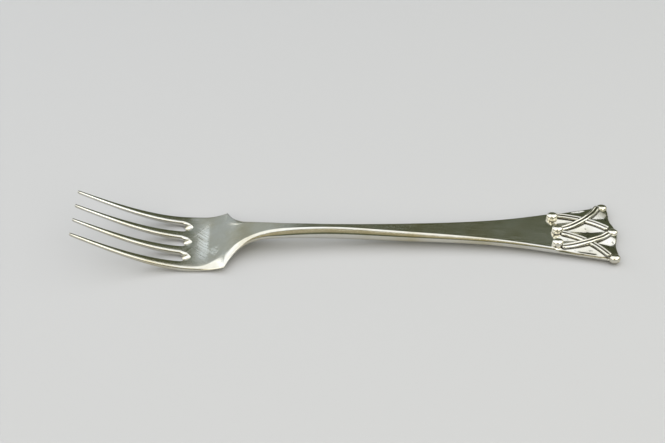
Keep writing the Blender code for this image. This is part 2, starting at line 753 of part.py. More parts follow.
def main():
    for old in list(bpy.data.objects):
        bpy.data.objects.remove(old, do_unlink=True)
    parts = bpy.data.collections.new("child_fork")
    cutters = bpy.data.collections.new("cutters")
    guides = bpy.data.collections.new("guides")
    for collection in (parts, cutters, guides):
        bpy.context.scene.collection.children.link(collection)
    make_knobs(parts, cutters)
    make_body(parts, cutters)
    make_straps(parts, guides)


main()
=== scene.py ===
"""Looks of a child's silver fork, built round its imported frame. Metres, +Z up.

The forged body, the reeded straps and the knobs of the handle end are each modelled at full
smoothness in the place of their plain nodes, and stand on a pale floor under soft light.
The file is laid out as an add-on and run as a script.
"""
import math

import bmesh
import bpy
import numpy as np
from bpy.props import FloatProperty, FloatVectorProperty, PointerProperty
from mathutils import Matrix, Vector


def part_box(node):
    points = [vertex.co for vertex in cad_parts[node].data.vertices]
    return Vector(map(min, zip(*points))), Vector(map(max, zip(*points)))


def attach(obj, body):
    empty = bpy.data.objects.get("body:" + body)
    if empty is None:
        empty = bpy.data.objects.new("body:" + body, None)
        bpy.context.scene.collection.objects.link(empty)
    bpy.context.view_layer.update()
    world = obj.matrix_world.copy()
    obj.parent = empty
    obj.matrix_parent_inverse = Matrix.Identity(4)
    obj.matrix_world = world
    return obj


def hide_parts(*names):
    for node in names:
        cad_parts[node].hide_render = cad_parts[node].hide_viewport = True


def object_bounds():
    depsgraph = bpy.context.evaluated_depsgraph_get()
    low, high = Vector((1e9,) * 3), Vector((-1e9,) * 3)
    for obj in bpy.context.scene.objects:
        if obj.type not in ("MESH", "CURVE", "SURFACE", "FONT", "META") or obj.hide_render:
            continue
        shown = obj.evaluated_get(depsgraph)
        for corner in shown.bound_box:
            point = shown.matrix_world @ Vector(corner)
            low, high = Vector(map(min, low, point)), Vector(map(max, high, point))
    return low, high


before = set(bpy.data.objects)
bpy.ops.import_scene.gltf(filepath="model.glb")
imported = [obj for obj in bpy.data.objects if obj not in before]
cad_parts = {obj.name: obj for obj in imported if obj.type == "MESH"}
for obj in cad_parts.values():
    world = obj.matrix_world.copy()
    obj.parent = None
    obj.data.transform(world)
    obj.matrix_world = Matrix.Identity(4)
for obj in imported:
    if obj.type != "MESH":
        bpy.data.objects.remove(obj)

bl_info = {
    "name": "Child fork",
    "version": (1, 0, 0),
    "blender": (4, 5, 0),
    "location": "3D View > Sidebar > Fork",
    "description": "Models a child's silver fork with crossed straps, and its studio",
    "category": "Add Mesh",
}

MM = 0.001
CAD_BOX = [list(corner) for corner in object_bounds()]
TIP_X = CAD_BOX[0][0]
END_X = CAD_BOX[1][0]
TINE_COUNT = 4

# Sizes of the sections, in words
SIZE_KINDS = {"height": "Height of the top", "thickness": "Thickness",
              "flat": "Width of the flat top", "edge": "Width of the rounded edge"}

# Places of the sections, as shares of the way along the neck and along the handle
NECK_PLACE = 0.33
HANDLE_PLACES = {"waist": 0.14, "stem": 0.42, "handle": 0.7, "flare": 0.86}

# Rounded top edge: share of the thickness that it takes from place to place, how much less
# that is at the ornament, and power of its curve
TOP_FALL = {"root": 0.34, "shoulder": 0.38, "neck": 0.28, "crest": 0.48}
HANDLE_FALL_LOSS = 0.28
TOP_POWER = {"root": 2.0, "shoulder": 1.2, "crest": 1.4}

# Rounded back edge: the same share, that at the plate's end, power of its curve, and share of
# the back's width that is level
BACK_RISE = {"root": 0.34, "shoulder": 0.45, "crest": 0.45, "ornament": 0.5}
PLATE_END_RISE = 0.2
ROUND_POWER = 2.0
BACK_LEVEL = {"root": 0.93, "crest": 0.1, "end": 0.4}

# Share that a tine's tip is drawn in, largest share that its round edges take, and power of
# a slot's point
TIP_DRAW_IN = 0.6
TINE_ROUND_LIMIT = 0.7
SLOT_POINTING = 1.3

# Lines and stations of the body's net, before its one subdivision
EDGE_LINES = np.array((0.0, 0.07, 0.25, 0.56, 1.0))
SLOT_END_ANGLES = np.radians(np.arange(-72.0, 73.0, 18.0))
TIP_STATIONS = 4
TINE_STATIONS = 24
ROOT_STATIONS = (0.05, 0.13, 0.25, 0.42, 0.68)
BOWL_STATIONS = 14
NECK_STATIONS = 26
NECK_CROWDING = 1.6
HANDLE_STATIONS = 28
ORNAMENT_STATIONS = 84

# Net of a strap and of a knob, and power of a knob's curve
STRAP_STATIONS = 64
REED_POINTS = 9
KNOB_SEGMENTS = 32
KNOB_RINGS = 20
KNOB_FLATNESS = 3.3

# Patina in the deep ground, and painted shade along each strap's foot, on the rim's wall, in
# the groove between reeds and at a knob's foot: shares where they are less than full,
# distances where they fade and end (shares of the height on a knob), and height of a rim's
# wall from which the painted shade on it is full
GROUND_TARNISH = 0.25
STRAP_CORNER = (0.0, 0.4 * MM)
RIM_WALL = 0.15 * MM
RIM_CORNER = (0.15 * MM, 0.5 * MM)
FAR_RIM_SHADE = 0.3
REED_GROOVE = (0.05 * MM, 0.36 * MM)
STRAP_EDGE = (0.05 * MM, 0.4 * MM)
KNOB_SHADE = 0.7
KNOB_FOOT = (0.2, 0.5)

# Scuffs in the bowl and scratches of use: places, shares, and where they fade and end
SCUFF_PLACE = 0.45
SCUFFS_TO_TINES = (0.6 * MM, 4.4 * MM)
SCUFFS_TO_NECK = (0.0, 0.6 * MM)
SCUFFS_ACROSS = (3.4 * MM, 9.0 * MM)
PATCH_SHARE = 0.6
PATCH_PLACE = (1.9 * MM, -4.0 * MM)
PATCH_REACH = (0.6 * MM, 2.4 * MM)
HANDLE_WEAR = 0.1
HEAD_WEAR = 0.6
WEAR_REACH = (8.0 * MM, 16.0 * MM)

# Hairlines of the buffing wheel: length, detail, noise values where they start and are full,
# how much rougher they are than the rest, and strength of their bump
HAIRLINE_LENGTH = 25.0 * MM
HAIRLINE_DETAIL = 3.0
HAIRLINE_NOISE = (0.35, 0.7)
HAIRLINE_ROUGHNESS = 1.5
BUMP_STRENGTH = 0.5

# Other patterns in the silver: turn about Z in degrees, size in millimetres along, across and
# up, detail, noise values where they start and are full, and the attribute that limits them
PATTERNS = {
    "scratches": (52.0, (8.0, 0.45, 3.0), 2.0, 0.62, 0.74, "wear"),
    "scuffs": (-38.0, (5.0, 0.12, 3.0), 3.0, 0.32, 0.66, "scuffs"),
    "specks": (0.0, (1.11111, 1.11111, 1.11111), 3.0, 0.56, 0.68, "recess"),
    "bloom": (0.0, (11.1111, 11.1111, 11.1111), 4.0, 0.4, 0.75, None),
}

# Silvers: clean colour, hairlines in a millimetre, and depth of hairlines and scratches
SILVERS = {
    "forged_silver_buffed": ("silver", 3.0, 0.004 * MM),
    "reeded_silver_buffed": ("silver", 4.0, 0.002 * MM),
    "knob_silver_bright": ("bright", 4.0, 0.001 * MM),
}

# Floor, and nearest distance that the camera shows
FLOOR_SIZE = 3.0
FLOOR_DROP = 0.02 * MM
FLOOR_ROUGHNESS = 0.9
CLIP_START = 0.01

# Softboxes: direction from the fork as turn (from +Y towards -X) and height in degrees,
# distance, width and height in metres, brightness and colour
SOFTBOXES = {
    "overhead": (0.0, 84.6, 0.602, 1.3, 0.83, 1.6, "#F7F8FF"),
    "behind_left": (142.0, 36.0, 0.8, 0.5, 0.55, 2.2, "#FFFDF4"),
    "behind_right": (-142.0, 36.0, 0.8, 0.5, 0.55, 2.2, "#FFFDF4"),
    "right": (-88.0, 36.0, 0.8, 0.75, 0.6, 1.6, "#FFFEF0"),
    "far_left": (38.0, 28.0, 0.9, 0.95, 0.7, 0.47, "#E9F1FF"),
    "low_left": (50.0, 9.0, 0.8, 0.6, 0.2, 1.9, "#FFFFFF"),
    "left": (85.0, 28.0, 0.8, 0.8, 0.34, 1.8, "#FFFFFF"),
    "warm_card": (180.0, 40.0, 0.8, 0.75, 0.52, 0.4, "#F2DDB8"),
}


def length(name, description, millimetres):
    """Length property whose default is given in millimetres."""
    return FloatProperty(name=name, description=description, default=millimetres * MM,
                         unit="LENGTH", precision=5)


def size_at(name, millimetres):
    """Length property named for a place along the fork and its kind of size."""
    place, kind = name.lower().split()
    return length(name, f"{SIZE_KINDS[kind]} at the {place}", millimetres)


def share(name, description, default):
    """Plain number property."""
    return FloatProperty(name=name, description=description, default=default, precision=3)


def angle(name, description, degrees):
    """Angle property whose default is given in degrees."""
    return FloatProperty(name=name, description=description, default=math.radians(degrees),
                         subtype="ANGLE")


def linear(hex_colour):
    """Linear colour of an sRGB hex value."""
    parts = [int(hex_colour[k:k + 2], 16) / 255 for k in (1, 3, 5)]
    return [p / 12.92 if p <= 0.04045 else ((p + 0.055) / 1.055) ** 2.4 for p in parts]


def colour(name, description, hex_colour):
    """Colour property whose default is an sRGB hex value."""
    return FloatVectorProperty(name=name, description=description, default=linear(hex_colour),
                               subtype="COLOR", size=3, min=0.0, max=1.0)


class ForkProfile(bpy.types.PropertyGroup):
    """Heights and thicknesses down the middle of the fork, from the tips to the handle's end.

    Tine means half-way along the tines, root where they leave the bowl, shoulder between its
    peaks, neck behind them, crest the highest point, and ornament where that begins.
    """

    tip_height: size_at("Tip height", 14.0)
    tine_height: size_at("Tine height", 5.85)
    root_height: size_at("Root height", 1.5)
    bowl_height: size_at("Bowl height", 1.6)
    shoulder_height: size_at("Shoulder height", 2.95)
    neck_height: size_at("Neck height", 5.4)
    crest_height: size_at("Crest height", 7.05)
    stem_height: size_at("Stem height", 5.55)
    handle_height: size_at("Handle height", 4.25)
    ornament_height: size_at("Ornament height", 3.05)
    end_height: size_at("End height", 2.4)
    tip_thickness: size_at("Tip thickness", 1.0)
    tine_thickness: size_at("Tine thickness", 1.35)
    root_thickness: size_at("Root thickness", 1.55)
    shoulder_thickness: size_at("Shoulder thickness", 1.8)
    crest_thickness: size_at("Crest thickness", 3.5)
    stem_thickness: size_at("Stem thickness", 3.9)
    handle_thickness: size_at("Handle thickness", 3.1)
    ornament_thickness: size_at("Ornament thickness", 2.75)
    end_thickness: size_at("End thickness", 2.65)


class ForkPlan(bpy.types.PropertyGroup):
    """Lengths, widths and edges of the fork, seen from above."""

    tine_length: length("Tine length", "From the tips to the slot roots", 31.2)
    root_pitch: length("Root pitch", "Between tine middles at the roots", 5.97)
    tip_pitch: length("Tip pitch", "Between tine middles at the tips", 5.65)
    root_width: length("Root width", "Width of a tine at its root", 3.0)
    tip_width: length("Tip width", "Width of a tine at its tip", 0.8)
    tine_edge: size_at("Tine edge", 0.5)
    tip_round: length("Tip round", "Length of a tine's rounded point", 0.7)
    slot_point: length("Slot point", "Length of a slot's pointed root", 3.2)
    slot_slope: length("Slot slope", "Run of a slot's sloped end wall", 2.3)
    bowl_length: length("Bowl length", "From the slot roots to the shoulders", 9.4)
    bowl_dish: length("Bowl dish", "Depth of the hollow in the bowl", 0.15)
    shoulder_width: length("Shoulder width", "Width over the shoulder peaks", 21.8)
    neck_length: length("Neck length", "From the shoulders to the crest", 16.4)
    neck_sweep: length("Neck sweep", "Run of the shoulders into the neck", 3.8)
    bowl_flat: size_at("Bowl flat", 17.9)
    shoulder_flat: size_at("Shoulder flat", 10.6)
    neck_flat: size_at("Neck flat", 6.4)
    throat_flat: size_at("Throat flat", 3.5)
    crest_flat: size_at("Crest flat", 2.0)
    waist_flat: size_at("Waist flat", 1.25)
    stem_flat: size_at("Stem flat", 2.9)
    handle_flat: size_at("Handle flat", 6.1)
    flare_flat: size_at("Flare flat", 9.3)
    ornament_flat: size_at("Ornament flat", 13.5)
    end_flat: size_at("End flat", 21.8)
    stem_edge: size_at("Stem edge", 1.4)
    handle_edge: size_at("Handle edge", 0.8)
    end_edge: size_at("End edge", 0.4)


class ForkOrnament(bpy.types.PropertyGroup):
    """Sunk ground, straps and knobs of the handle end."""

    ornament_length: length("Ornament length", "Length of the ornament", 19.0)
    plate_short: length("Plate short", "From the plate's end to the fork's", 0.15)
    plate_sag: length("Plate sag", "How far the plate's corners stand back", 1.2)
    plate_scallop: length("Plate scallop", "Depth of the scallops in the plate's end", 0.44)
    seat_sunk: length("Seat sunk", "Depth of the straps' seat under the handle's flat", 0.2)
    valley_slope: share("Valley slope", "Slope of the ground between the straps", 0.2)
    valley_depth: length("Valley depth", "Deepest ground between the straps", 0.5)
    rim_slope: share("Rim slope", "Slope of the ground up to the rim", 3.0)
    rim_width: length("Rim width", "Width of the low rim at the sides", 0.8)
    rim_drop: length("Rim drop", "Depth of the rim under the seat", 0.22)
    knob_setback: length("Knob setback", "From its start to the inner knobs", 1.2)
    knob_spacing: length("Knob spacing", "From the middle end knob to the others", 10.1)
    strap_width: length("Strap width", "Width of a strap", 1.9)
    strap_height: length("Strap height", "Height of a strap's reeds", 0.7)
    strap_side: length("Strap side", "Height of a strap's sides", 0.2)
    groove_floor: length("Groove floor", "Height of the groove's floor", 0.4)
    groove_width: length("Groove width", "Width of the groove between reeds", 0.12)
    knob_offset: length("Knob offset", "From a side knob's middle out to its strap's", 0.85)
    pair_gap: length("Pair gap", "Gap between straps side by side", 0.2)
    halved_height: length("Halved height", "Height of the lower strap at a crossing", 0.35)
    halving_run: length("Halving run", "Length over which a strap is halved", 0.5)
    arch_rise: length("Arch rise", "Rise of the upper strap at a crossing", 0.35)
    arch_reach: length("Arch reach", "Reach of the upper strap's arch", 4.8)
    strap_foot: length("Strap foot", "Depth of a strap in its solder", 0.15)
    strap_tuck: length("Strap tuck", "Run of a strap's ends into the knobs", 0.9)
    solder_gap: length("Solder gap", "Gap that solder fills under a strap", 0.08)
    outer_bend_x: share("Outer bend along", "Bend of the outer straps, along", 0.63)
    outer_bend_y: share("Outer bend across", "Bend of the outer straps, across", 0.23)
    inner_bend_x: share("Inner bend along", "Bend of the inner straps, along", 0.63)
    inner_bend_y: share("Inner bend across", "Bend of the inner straps, across", 0.26)


class ForkFinish(bpy.types.PropertyGroup):
    """Colours and wear of the silver."""

    silver: colour("Silver", "Clean buffed silver", "#D2D1CA")
    bright: colour("Bright silver", "Silver of the handled knobs", "#DEDBD1")
    # Dark colour for patina and for painted shade along the straps, on the rim and at knob feet
    tarnish: colour("Tarnish", "Dark silver in the recesses", "#5A564A")
    bloom: colour("Bloom", "Thin yellowish bloom in clouds", "#BDB79F")
    # Brighter, cooler silver in the scuffs: fresh metal, with a painted cool sheen
    fresh_and_sheen: colour("Fresh silver", "Bright metal in the scuffs", "#E6ECEC")
    roughness: share("Roughness", "Roughness of the buffed surface", 0.13)
    scratch_roughness: share("Scratch roughness", "Roughness in the scratches of use", 0.3)
    scuff_roughness: share("Scuff roughness", "Roughness in the scuffs of the bowl", 0.5)


class ForkStage(bpy.types.PropertyGroup):
    """Floor, light and camera."""

    floor_colour: colour("Floor", "Pale matt floor", "#B2B2B4")
    room_colour: colour("Room", "Dim room that the flats mirror", "#5A6049")
    brightness: share("Brightness", "Scale of every lamp", 1.0)
    lens: FloatProperty(name="Lens", description="Focal length", default=64.96, unit="CAMERA")
    distance: length("Distance", "From the camera to its target", 342.27)
    elevation: angle("Elevation", "Camera above the floor", 43.0)
    turn: angle("Turn", "Camera turned about the fork", -0.618)
    roll: angle("Roll", "Camera tilted to its side", -0.7211)
    target: FloatVectorProperty(name="Target", description="Point on the floor in mid-picture",
                                default=(-4.5507 * MM, 8.8565 * MM, 0.0), subtype="TRANSLATION")


def along(start, end, part):
    """Point at a part of the way from start to end."""
    return start + (end - start) * part


def part_of(x, start, end):
    """Part of the way from start to end at which a point lies."""
    return (x - start) / (end - start)


def ease(part):
    """Smooth step from 0 to 1."""
    part = np.clip(part, 0.0, 1.0)
    return part * part * (3 - 2 * part)


def hump(distance, flat, reach):
    """Smooth hump, 1 as far as its flat and 0 from its reach on."""
    return 1 - ease(part_of(distance, flat, reach))


def edge_fall(part, power=ROUND_POWER):
    """Fall of a rounded edge, 1 at the outline (part 0) and 0 at the flat (part 1)."""
    out = 1 - np.clip(part, 0.0, 1.0)
    return 1 - (1 - out ** power) ** (1 / power)


def spline_through(knots):
    """Smooth curve through (x, value) knots, as a function of an array."""
    xs, values = (np.array(column) for column in zip(*knots))
    gaps = np.diff(xs)
    steps = np.diff(values) / gaps
    system = np.eye(len(xs))
    right = np.zeros(len(xs))
    for k in range(1, len(xs) - 1):
        system[k, k - 1:k + 2] = gaps[k - 1], 2 * (gaps[k - 1] + gaps[k]), gaps[k]
        right[k] = 6 * (steps[k] - steps[k - 1])
    bends = np.linalg.solve(system, right)

    def value(x):
        k = np.clip(np.searchsorted(xs, x) - 1, 0, len(gaps) - 1)
        a = (xs[k + 1] - x) / gaps[k]
        b = 1 - a
        bow = ((a ** 3 - a) * bends[k] + (b ** 3 - b) * bends[k + 1]) * gaps[k] ** 2 / 6
        return a * values[k] + b * values[k + 1] + bow

    return value


def eased_through(values, places):
    """Curve that eases from each place's value to the next, as a function of an array."""
    knots = [(places[name], value) for name, value in values.items()]

    def value(x):
        result = knots[0][1]
        for (start, before), (end, after) in zip(knots, knots[1:]):
            result = result + (after - before) * ease(part_of(x, start, end))
        return result

    return value


def nearest(x, y, route):
    """Distance of each point from the nearest point of a route."""
    return np.hypot(x[:, None] - route[:, 0], y[:, None] - route[:, 1]).min(axis=1)


class ForkShape:
    """Lines and surfaces of the fork, worked out from its sizes."""

    def __init__(self, scene):
        profile, plan, ornament = scene.fork_profile, scene.fork_plan, scene.fork_ornament
        self.plan = plan
        self.ornament = ornament
        self.root = TIP_X + plan.tine_length
        self.shoulder = self.root + plan.bowl_length
        self.crest = self.shoulder + plan.neck_length
        self.start = END_X - ornament.ornament_length
        self.root_half = ((TINE_COUNT - 1) * plan.root_pitch + plan.root_width) / 2
        self.slot_start = self.root - plan.slot_point
        at = {"tip": TIP_X, "root": self.root, "shoulder": self.shoulder, "crest": self.crest,
              "ornament": self.start, "end": END_X}
        at["tine"] = along(TIP_X, self.root, 0.5)
        at["bowl"] = along(self.root, self.shoulder, 0.5)
        at["neck"] = along(self.shoulder, self.crest, NECK_PLACE)
        at["throat"] = along(self.shoulder, self.crest, 2 * NECK_PLACE)
        for place, part in HANDLE_PLACES.items():
            at[place] = along(self.crest, self.start, part)

        def knots(group, kind, places, sizes=None):
            """Knots at the places, from sizes of one kind that are named for them or given."""
            pairs = zip(places.split(), (sizes or places).split())
            return [(at[place], getattr(group, f"{size}_{kind}")) for place, size in pairs]

        self.top_line = spline_through(knots(
            profile, "height", "tip tine root bowl shoulder neck crest stem handle ornament end"))
        self.thickness = spline_through(knots(
            profile, "thickness", "tip tine root shoulder crest stem handle ornament end"))
        self.edge_round = spline_through(knots(
            plan, "edge", "shoulder crest waist handle ornament end",
            "stem stem stem handle end end"))
        self.handle_flat = spline_through(knots(
            plan, "flat", "shoulder crest waist stem handle flare ornament end",
            "crest crest waist stem handle flare ornament end"))
        self.head_flat = spline_through([
            (self.root, 2 * (self.root_half - plan.tine_edge)),
            *knots(plan, "flat", "bowl shoulder neck throat crest waist")])
        self.top_fall = eased_through(TOP_FALL, at)
        self.top_power = eased_through(TOP_POWER, at)
        self.back_rise = eased_through(BACK_RISE, at)
        self.back_level = eased_through(BACK_LEVEL, at)
        self.lay_straps()

    def tine_pitch(self, x):
        """Distance between tine middles."""
        return along(self.plan.tip_pitch, self.plan.root_pitch, part_of(x, TIP_X, self.root))

    def tine_half_width(self, x):
        """Half the width of a tine, drawn in to a blunt round point at the tip."""
        plan = self.plan
        half = along(plan.tip_width, plan.root_width, part_of(x, TIP_X, self.root)) / 2
        return half * (1 - TIP_DRAW_IN * edge_fall((x - TIP_X) / plan.tip_round))

    def tine_edge_round(self, x):
        """Width of a tine's rounded edge."""
        return np.minimum(self.plan.tine_edge, TINE_ROUND_LIMIT * self.tine_half_width(x))

    def handle_half_width(self, x):
        """Half the width of the handle, without the sweep of the shoulders."""
        return self.handle_flat(x) / 2 + self.edge_round(x)

    def half_width(self, x):
        """Half the width of the fork, from above."""
        shoulder_half = self.plan.shoulder_width / 2
        tines = (TINE_COUNT - 1) * self.tine_pitch(x) / 2 + self.tine_half_width(x)
        bowl = along(self.root_half, shoulder_half, part_of(x, self.root, self.shoulder) ** 2)
        step = shoulder_half - self.handle_half_width(self.shoulder)
        sweep = step * np.exp((self.shoulder - x) / self.plan.neck_sweep)
        handle = self.handle_half_width(x) + sweep
        return np.where(x <= self.root, tines, np.where(x <= self.shoulder, bowl, handle))

    def flat_half_width(self, x):
        """Half the width of the flat top, inside the rounded edge."""
        tines = self.half_width(x) - self.tine_edge_round(x)
        body = np.where(x < self.crest, self.head_flat(x), self.handle_flat(x)) / 2
        return np.where(x <= self.root, tines, body)

    def lay_straps(self):
        """Work out each strap's route, the route it crosses, and whether it arches over."""
        sizes = self.ornament
        gap = 2 * sizes.solder_gap
        low = {node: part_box(node)[0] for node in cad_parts}
        high = {node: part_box(node)[1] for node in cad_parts}
        self.routes = {}
        for side, word in ((1, "far"), (-1, "near")):
            side_knob = "knob_inner_" + word
            knob = along(low[side_knob].y, high[side_knob].y, 0.5)
            outer = self.route(
                (high[side_knob].x + gap, knob + side * sizes.knob_offset),
                (sizes.outer_bend_x, sizes.outer_bend_y),
                (low["knob_end_middle"].x - gap,
                 side * (sizes.strap_width / 2 + 2 * sizes.pair_gap)))
            inner = self.route(
                (high["knob_inner_middle"].x + gap,
                 side * (sizes.strap_width + sizes.pair_gap) / 2),
                (sizes.inner_bend_x, sizes.inner_bend_y),
                (low["knob_end_" + word].x - gap,
                 side * (sizes.knob_spacing - sizes.strap_width / 2)))
            # The inner strap is the upper one on the far side, the lower one on the near side
            pair = [(f"strap_{word}_to_middle", outer), (f"strap_middle_to_{word}", inner)]
            (under, under_route), (over, over_route) = pair[::side]
            self.routes[under] = under_route, over_route, False
            self.routes[over] = over_route, under_route, True

    def route(self, start, bend_parts, end):
        """Points of a strap in plan, on one quadratic curve."""
        start, end = np.array(start), np.array(end)
        bend = along(start, end, np.array(bend_parts))
        t = np.linspace(0.0, 1.0, STRAP_STATIONS)[:, None]
        return start * (1 - t) ** 2 + bend * (2 * t * (1 - t)) + end * t ** 2

    def plate_end(self, y):
        """X of the handle's scalloped end."""
        sizes = self.ornament
        part = y / sizes.knob_spacing
        scallop = sizes.plate_scallop * (1 - np.cos(2 * math.pi * part))
        return END_X - sizes.plate_short - sizes.plate_sag * part ** 2 - scallop

    def seat_height(self, x):
        """Height on which the straps lie."""
        sunk = ease((x - self.start) / self.ornament.knob_setback)
        return self.top_line(x) - self.ornament.seat_sunk * sunk

    def from_straps(self, x, y):
        """Distance from the edge of the nearest strap, less than 0 under it."""
        gaps = [nearest(x, y, route) for route, _, _ in self.routes.values()]
        return np.min(gaps, axis=0) - self.ornament.strap_width / 2

    def valley(self, x, y):
        """Depth of the ground under the strap seats: valleys between the straps and the rim."""
        sizes = self.ornament
        to_rim = np.clip(self.half_width(x) - np.abs(y) - sizes.rim_width, 0.0, None)
        low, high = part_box("knob_inner_far")
        opening = ease((x - self.start - sizes.knob_setback / 2) / ((high.x - low.x) / 2))
        depth = np.minimum(sizes.valley_slope * self.from_straps(x, y),
                           sizes.rim_drop + sizes.rim_slope * to_rim)
        return np.clip(depth, 0.0, sizes.valley_depth) * opening

    def strap_height(self, x, y, up, crossed, over):
        """Height of a strap's points; up is their height in the plain section."""
        sizes = self.ornament
        half = sizes.strap_width / 2
        to_crossed = nearest(x, y, crossed)
        halved = hump(to_crossed, half - sizes.halving_run, half)
        bottom = -sizes.strap_foot
        if over:
            cut = sizes.halved_height + sizes.strap_foot + sizes.solder_gap
            bottom = halved * cut - sizes.strap_foot
            arch = hump(to_crossed, half, sizes.arch_reach)
            top = sizes.strap_height + sizes.arch_rise * arch
        else:
            top = along(sizes.strap_height, sizes.halved_height, halved)
        part = up / sizes.strap_height
        return self.seat_height(x) + sizes.solder_gap + along(bottom, top, part)

    def edge_share(self, x, y, slot_point):
        """Place across the rounded edge: 0 on the outline, 1 or more on the flat.

        The rounding fades to a crisp edge towards the end of each slot.
        """
        outer = self.half_width(x)
        part = (outer - np.abs(y)) / (outer - self.flat_half_width(x))
        part = np.minimum(part, (x - TIP_X) / self.plan.tip_round)
        at = np.minimum(x, self.slot_start)
        past = np.clip((x - self.slot_start) / slot_point, 0.0, 1.0)
        pitch = self.tine_pitch(at)
        last_slot = (TINE_COUNT - 2) / 2
        slot = np.clip(np.round(y / pitch), -last_slot, last_slot) * pitch
        open_half = pitch / 2 - self.tine_half_width(at)
        open_half *= np.sqrt(1 - past ** (2 / SLOT_POINTING))
        from_slot = (np.abs(y - slot) - open_half) / self.tine_edge_round(at) + ease(past)
        near_slots = x < along(self.root, self.shoulder, 0.5)
        part = np.where(near_slots, np.minimum(part, from_slot), part)
        from_end = (self.plate_end(y) - x) / self.plan.end_edge
        return np.where(x > self.start, np.minimum(part, from_end), part)

    def top_height(self, x, y):
        """Top of the body."""
        part = np.clip(part_of(x, self.root, self.shoulder), 0.0, 1.0)
        across = np.cos(math.pi * y / self.plan.shoulder_width) ** 2
        sunk = self.plan.bowl_dish * np.sin(math.pi * part) ** 2 * across
        ground = x > self.start
        sunk[ground] = self.top_line(x[ground]) - self.seat_height(x[ground])
        sunk[ground] += self.valley(x[ground], y[ground])
        run = np.clip(part_of(x, self.crest, self.start), 0.0, 1.0)
        taken = self.top_fall(x) - HANDLE_FALL_LOSS * run
        fall = edge_fall(self.edge_share(x, y, self.plan.slot_point), self.top_power(x))
        return self.top_line(x) - sunk - taken * (self.thickness(x) - sunk) * fall

    def back_height(self, x, y):
        """Underside of the body, level on the table under the bowl and the handle's end."""
        middle = np.maximum(self.top_line(x) - self.thickness(x), 0.0)
        across = (1 - np.abs(y) / self.half_width(x)) / (1 - self.back_level(x))
        tines = self.edge_share(x, y, self.plan.slot_point - self.plan.slot_slope)
        part = np.where(x > self.root, across, tines)
        rise = self.back_rise(x) * edge_fall(part)
        from_end = (self.plate_end(y) - x) / (2 * self.plan.end_edge)
        end_rise = np.maximum(rise, PLATE_END_RISE * edge_fall(from_end))
        rise = np.where(x > self.start, end_rise, rise)
        return middle + (self.top_line(x) - middle) * rise

    def recess(self, x, y):
        """Share of the deepest ground, 0 outside the ornament."""
        result = np.zeros(len(x))
        sunk = x > self.start
        result[sunk] = self.valley(x[sunk], y[sunk]) / self.ornament.valley_depth
        return result

    def tarnish(self, x, y):
        """Dark share: patina in the ground, painted shade along each strap and under the rim."""
        sizes = self.ornament
        result = GROUND_TARNISH * self.recess(x, y)
        sunk = x > self.start
        x, y = x[sunk], y[sunk]
        from_strap = self.from_straps(x, y)
        # Painted shade: a dark line on the ground along each strap's foot
        corner = hump(np.abs(from_strap), *STRAP_CORNER)
        # Painted shade: a dark line on the rim's wall, full on the near side, weaker on the far
        # side
        from_rim = np.abs(self.half_width(x) - np.abs(y) - sizes.rim_width)
        wall = (sizes.valley_slope * from_strap - sizes.rim_drop) / RIM_WALL
        rim = np.clip(wall, 0.0, 1.0) * hump(from_rim, *RIM_CORNER)
        rim *= np.where(y < 0.0, 1.0, FAR_RIM_SHADE)
        result[sunk] = np.max((result[sunk], corner, rim), axis=0)
        return result

    def scuffs(self, x, y):
        """Share of scuffing where food and cloth rub: a band across the bowl and a patch."""
        past = x - along(self.root, self.shoulder, SCUFF_PLACE)
        to_tines, to_neck = hump(-past, *SCUFFS_TO_TINES), hump(past, *SCUFFS_TO_NECK)
        band = np.where(past < 0.0, to_tines, to_neck) * hump(np.abs(y), *SCUFFS_ACROSS)
        from_patch = np.hypot(past - PATCH_PLACE[0], y - PATCH_PLACE[1])
        return np.maximum(band, PATCH_SHARE * hump(from_patch, *PATCH_REACH))

    def wear(self, x):
        """Share of the scratches of use: most in bowl and neck, few along the handle."""
        return along(HANDLE_WEAR, HEAD_WEAR, hump(np.abs(x - self.shoulder), *WEAR_REACH))


